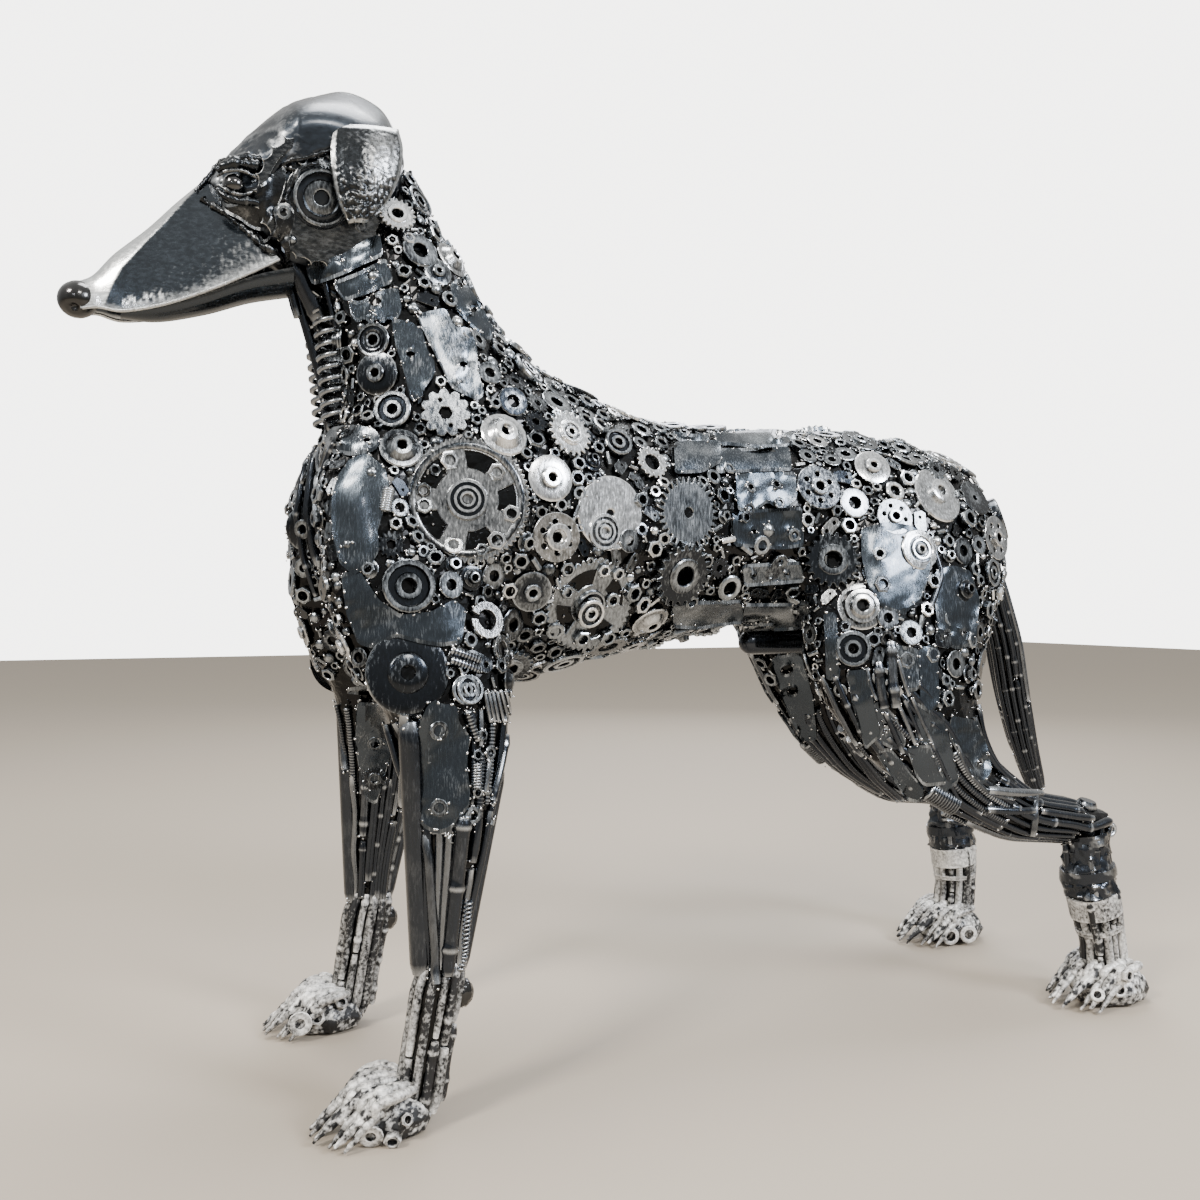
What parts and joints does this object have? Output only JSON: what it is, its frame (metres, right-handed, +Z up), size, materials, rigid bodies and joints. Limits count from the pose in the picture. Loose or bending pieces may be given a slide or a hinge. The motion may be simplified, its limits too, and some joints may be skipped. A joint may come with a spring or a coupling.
{
  "type": "scrap metal dog sculpture",
  "caption": "Life-size standing greyhound welded from scrap metal: gears, bearings, chainrings, springs, washers, rods and plates under a clear gloss lacquer.",
  "frame": {"origin": "on the floor, in the middle of the dog's length and width", "axes": "-X towards the nose, -Y to the dog's left side, +Z up"},
  "size_m": [1.1579, 0.3582, 0.95],
  "materials": {
    "gunmetal": "dark gunmetal welded scrap under gloss clear lacquer",
    "bright_steel": "wire-brushed bright steel under gloss clear lacquer",
    "polished_sheet": "smooth blue-grey sheet, burnished to silver on the ridge, high gloss",
    "cast_steel": "rough hammered cast steel with bright high spots, gloss lacquer",
    "black_glass": "gloss black enamel",
    "whitened_steel": "dark steel dry-brushed nearly white on the high spots"
  },
  "bodies": {
    "root": {"belly_bar": "gunmetal", "body": "gunmetal", "brow_left": "cast_steel", "brow_right": "cast_steel", "cheek_bearing_left": "bright_steel", "cheek_bearing_right": "bright_steel", "cheek_sprocket_left": "polished_sheet", "cheek_sprocket_right": "polished_sheet", "ear_left": "cast_steel", "ear_right": "cast_steel", "elbow_disc_left": "bright_steel", "elbow_disc_right": "bright_steel", "eye_left": "black_glass", "eye_right": "black_glass", "flank_chainring_left": "bright_steel", "flank_chainring_right": "bright_steel", "flank_disc_left": "bright_steel", "flank_disc_right": "bright_steel", "flank_gear_left": "bright_steel", "flank_gear_right": "bright_steel", "foreleg_left": "gunmetal", "foreleg_right": "gunmetal", "front_paw_left": "whitened_steel", "front_paw_right": "whitened_steel", "hind_leg_left": "gunmetal", "hind_leg_right": "gunmetal", "hind_paw_left": "whitened_steel", "hind_paw_right": "whitened_steel", "hip_disc_left": "bright_steel", "hip_disc_right": "bright_steel", "lower_jaw": "polished_sheet", "metatarsus_left": "gunmetal", "metatarsus_right": "gunmetal", "muzzle": "polished_sheet", "nose": "black_glass", "pastern_left": "whitened_steel", "pastern_right": "whitened_steel", "rump_disc_left": "bright_steel", "rump_disc_right": "bright_steel", "shin_rear_rod_left": "gunmetal", "shin_rear_rod_right": "gunmetal", "shin_rod_left": "gunmetal", "shin_rod_right": "gunmetal", "shin_tube_left": "gunmetal", "shin_tube_right": "gunmetal", "shoulder_chainring_left": "bright_steel", "shoulder_chainring_right": "bright_steel", "skull_cap": "polished_sheet", "tail": "gunmetal", "throat_bar": "cast_steel", "throat_spring_left": "bright_steel", "throat_spring_right": "bright_steel"}
  },
  "joints": []
}
